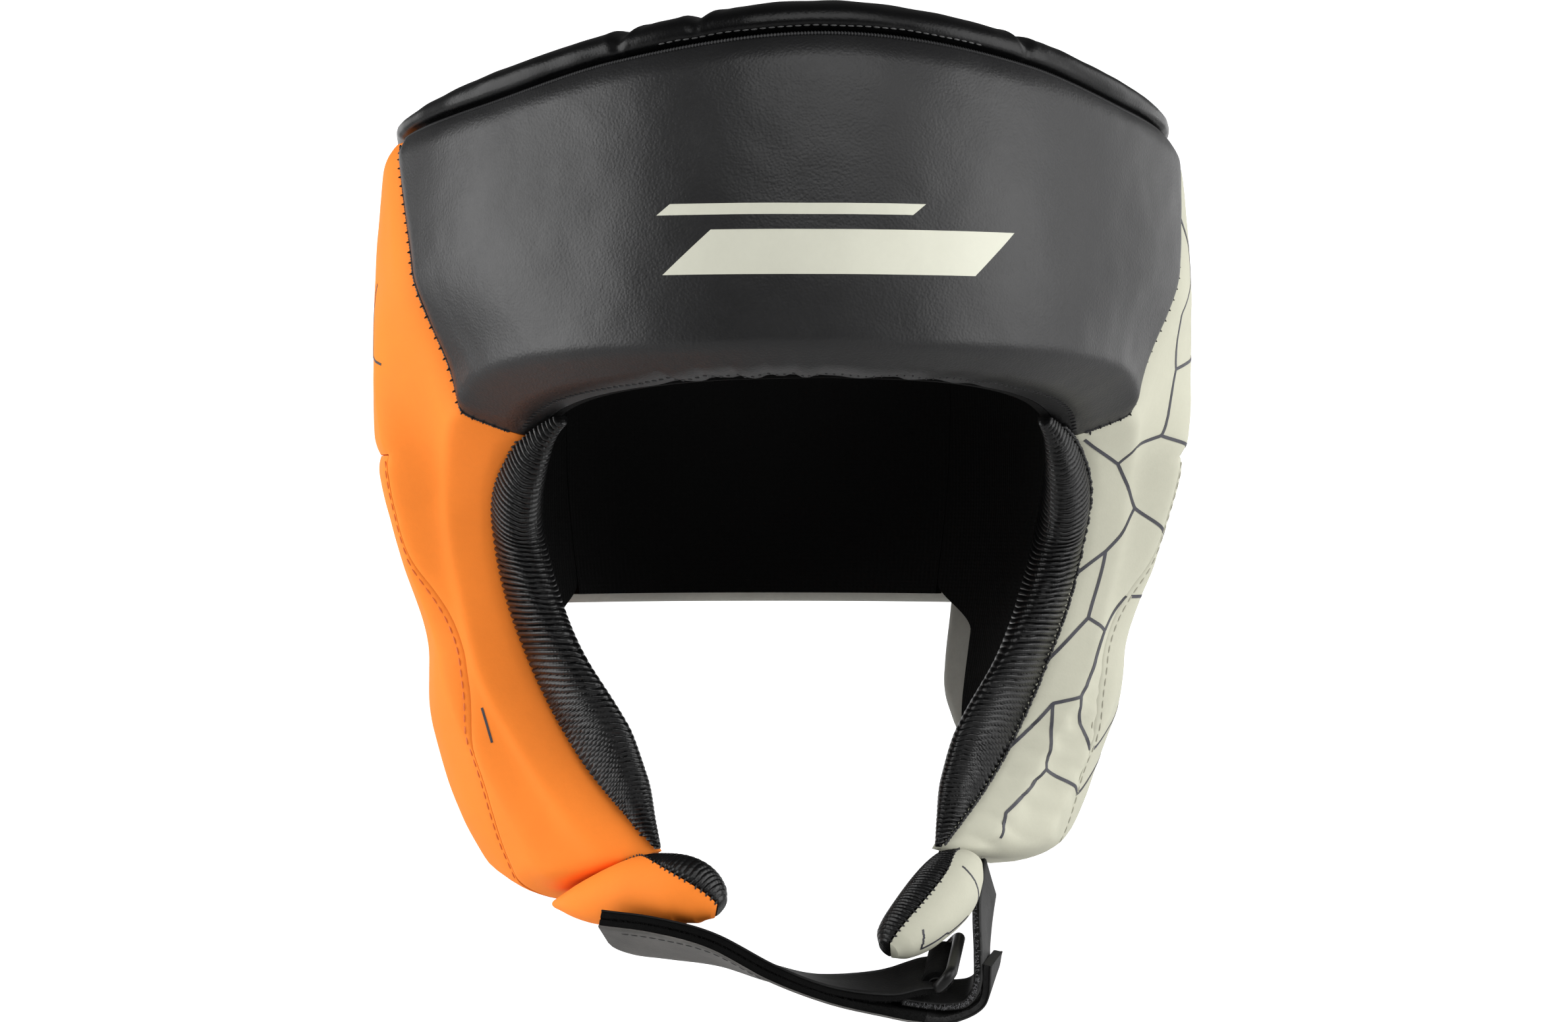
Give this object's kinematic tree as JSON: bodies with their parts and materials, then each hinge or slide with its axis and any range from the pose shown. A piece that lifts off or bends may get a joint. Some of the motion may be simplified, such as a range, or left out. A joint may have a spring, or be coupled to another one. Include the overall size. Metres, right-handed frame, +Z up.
{
  "type": "sparring headgear",
  "caption": "Open-face padded sparring headgear: foam pads sewn in a ring round an open crown, ribbed rolls round the face, and a chin strap with hook and loop.",
  "frame": {"origin": "centre of the hollow for the head, level with the middle of the brow's lower edge", "axes": "+Z up as worn, -Y out of the face opening, +X towards the wearer's left"},
  "size_m": [0.2372, 0.2465, 0.2819],
  "materials": {
    "charcoal_vinyl": "satin grained charcoal polyurethane leather",
    "orange_vinyl": "satin orange polyurethane leather",
    "bone_vinyl": "satin bone polyurethane leather with dark line print",
    "gloss_vinyl": "glossy black soft vinyl",
    "black_lining": "matt black lining",
    "ribbed_lining": "black ribbed satin lining",
    "strap_vinyl": "dark grey strap with black hook and loop",
    "black_plastic": "moulded black plastic"
  },
  "bodies": {
    "root": {"forehead_pad": "charcoal_vinyl", "forehead_lining": "black_lining", "back_pad": "bone_vinyl", "back_lining": "black_lining", "crown_roll": "gloss_vinyl", "side_pad_right": "orange_vinyl", "ear_pad_right": "orange_vinyl", "side_lining_right": "black_lining", "face_roll_right": "ribbed_lining", "chin_flap_right": "orange_vinyl", "flap_roll_right": "ribbed_lining", "side_pad_left": "bone_vinyl", "ear_pad_left": "bone_vinyl", "side_lining_left": "black_lining", "face_roll_left": "ribbed_lining", "chin_flap_left": "bone_vinyl", "flap_roll_left": "ribbed_lining", "chin_strap": "strap_vinyl", "inner_strap": "strap_vinyl", "strap_tab": "strap_vinyl", "strap_ring": "black_plastic"}
  },
  "joints": []
}
